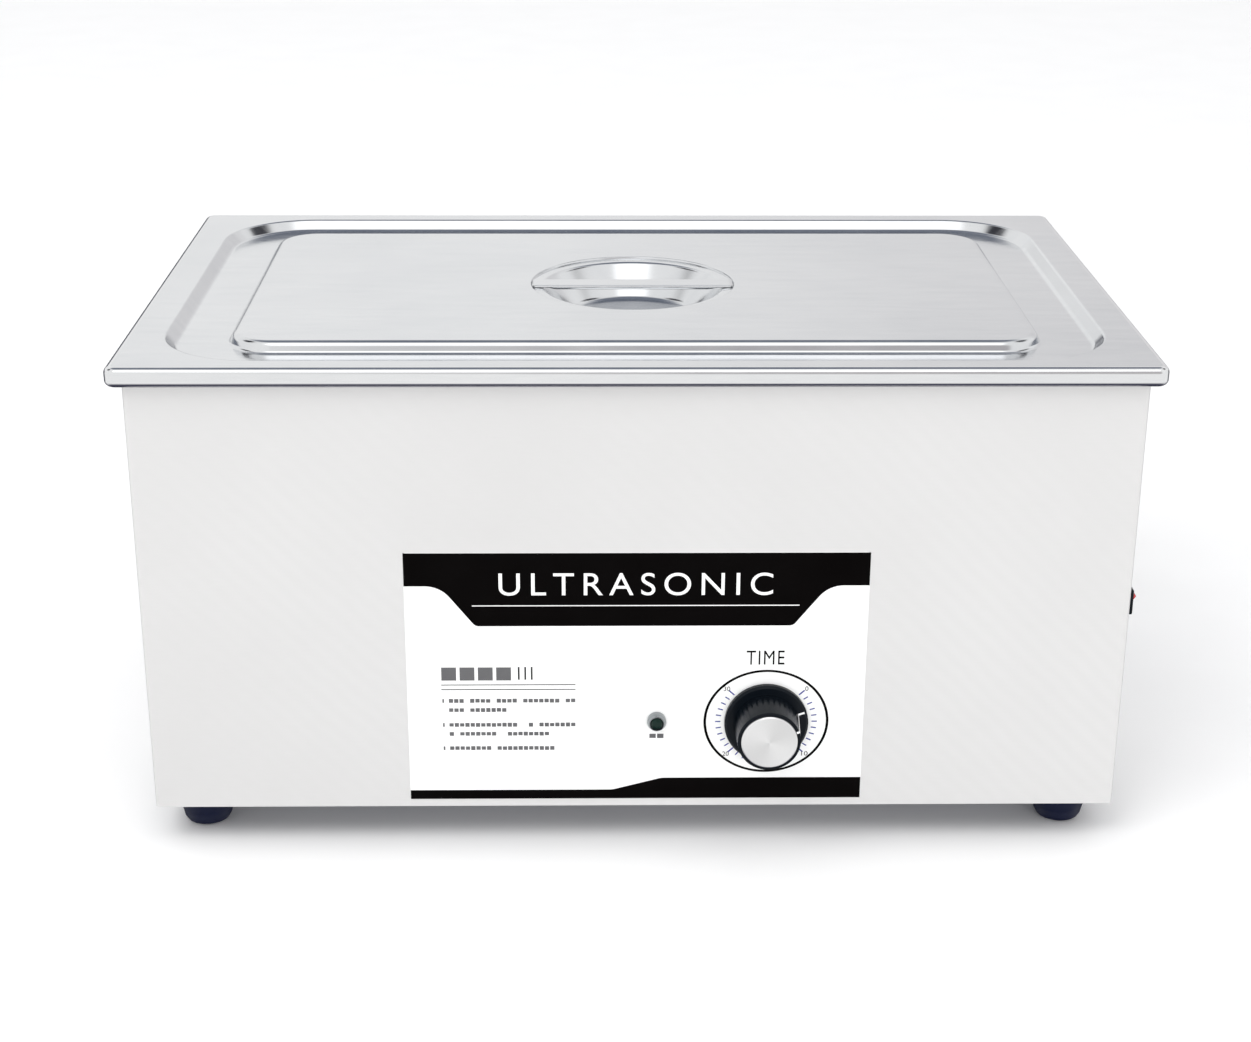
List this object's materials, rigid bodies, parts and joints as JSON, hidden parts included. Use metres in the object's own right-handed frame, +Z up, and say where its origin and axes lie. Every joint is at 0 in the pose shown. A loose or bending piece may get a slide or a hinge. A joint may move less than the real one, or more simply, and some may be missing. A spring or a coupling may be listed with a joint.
{
  "type": "ultrasonic cleaner",
  "caption": "Benchtop ultrasonic cleaning bath: stainless cabinet and deep tank, lift-off pan lid with sunk handle, timer knob, pilot lamp, side rocker, rear fan, inlet and drain valve.",
  "frame": {"origin": "on the bench, under the middle of the cabinet", "axes": "+X to the user's right along the length, +Y to the rear, +Z up; the control panel faces -Y"},
  "size_m": [0.53, 0.4306, 0.27],
  "materials": {
    "cabinet_steel": "fine satin",
    "tank_steel": "satin",
    "lid_steel": "polished",
    "base_steel": "dull zinc",
    "fastener_steel": "plated",
    "foot_rubber": "matte",
    "panel_film": "satin printed film",
    "black_plastic": "fine matte",
    "cap_aluminium": "radially brushed",
    "chrome_trim": "polished",
    "green_lens": "clear tinted",
    "red_plastic": "gloss",
    "fitting_steel": "machined",
    "fitting_brass": "machined",
    "lever_grip": "dipped vinyl",
    "grey_plastic": "matte",
    "board_green": "solder mask",
    "sink_aluminium": "extruded",
    "ferrite": "sintered",
    "copper_wire": "enamelled",
    "ceramic": "fired",
    "stack_aluminium": "turned",
    "electrode_brass": "rolled",
    "fuse_glass": "clear",
    "wire_sheath": "sleeved"
  },
  "bodies": {
    "cabinet": {"housing_shell": "cabinet_steel", "rear_panel": "cabinet_steel", "panel_screws": "fastener_steel", "bottom_plate": "base_steel", "bottom_screws": "fastener_steel", "foot_front_left": "foot_rubber", "foot_front_right": "foot_rubber", "foot_rear_left": "foot_rubber", "foot_rear_right": "foot_rubber", "foot_screws": "fastener_steel", "foot_nuts": "fastener_steel", "tank": "tank_steel", "drain_boss": "fitting_steel", "drain_elbow": "fitting_steel", "bulkhead_nuts": "fitting_brass", "valve_body": "fitting_steel", "hose_spigot": "fitting_brass", "control_panel_label": "panel_film", "timer_body": "grey_plastic", "timer_screws": "fastener_steel", "lamp_bezel": "chrome_trim", "lamp_lens": "green_lens", "lamp_body": "grey_plastic", "lamp_nut": "fastener_steel", "switch_frame": "black_plastic", "switch_terminals": "electrode_brass", "fan_frame": "black_plastic", "fan_guard": "chrome_trim", "fan_screws": "fastener_steel", "inlet_body": "black_plastic", "inlet_pins": "electrode_brass", "inlet_screws": "fastener_steel", "transducer_front_masses": "stack_aluminium", "transducer_ceramics": "ceramic", "transducer_electrodes": "electrode_brass", "transducer_back_masses": "fastener_steel", "transducer_bolts": "fastener_steel", "generator_board": "board_green", "board_standoffs": "fitting_brass", "heat_sink": "sink_aluminium", "power_transistors": "black_plastic", "transformer_core": "ferrite", "transformer_winding": "copper_wire", "capacitors": "grey_plastic", "tuning_inductor": "copper_wire", "transducer_harness": "wire_sheath", "mains_harness": "wire_sheath"},
    "lid": {"lid_cover": "lid_steel", "lid_handle": "lid_steel"},
    "knob": {"timer_knob": "black_plastic", "knob_cap": "cap_aluminium", "timer_shaft": "fastener_steel"},
    "rocker": {"switch_rocker": "red_plastic"},
    "fan": {"fan_rotor": "black_plastic"},
    "valve": {"valve_ball": "chrome_trim", "valve_stem": "fitting_steel", "valve_lever": "lever_grip", "lever_nut": "fastener_steel"},
    "drawer": {"fuse_drawer": "black_plastic", "fuse": "fuse_glass"}
  },
  "joints": [
    {"name": "lid_lift", "type": "slide", "parent": "cabinet", "child": "lid", "axis": [0, 0, 1], "range_m": [0, 0.2]},
    {"name": "timer_turn", "type": "hinge", "parent": "cabinet", "child": "knob", "pos_m": [0.0689, -0.17, 0.0722], "axis": [0, 1, 0], "range_deg": [-25.7, 244.3]},
    {"name": "power_rock", "type": "hinge", "parent": "cabinet", "child": "rocker", "pos_m": [0.2562, -0.1458, 0.1385], "axis": [0, -1, 0], "range_deg": [0, 28]},
    {"name": "fan_spin", "type": "hinge", "parent": "cabinet", "child": "fan", "pos_m": [-0.13, 0.14, 0.07], "axis": [0, 1, 0], "continuous": true},
    {"name": "drain_turn", "type": "hinge", "parent": "cabinet", "child": "valve", "pos_m": [0.215, 0.191, 0.072], "axis": [0, 0, -1], "range_deg": [0, 90]},
    {"name": "fuse_slide", "type": "slide", "parent": "cabinet", "child": "drawer", "axis": [0, 1, 0], "range_m": [0, 0.024]}
  ]
}
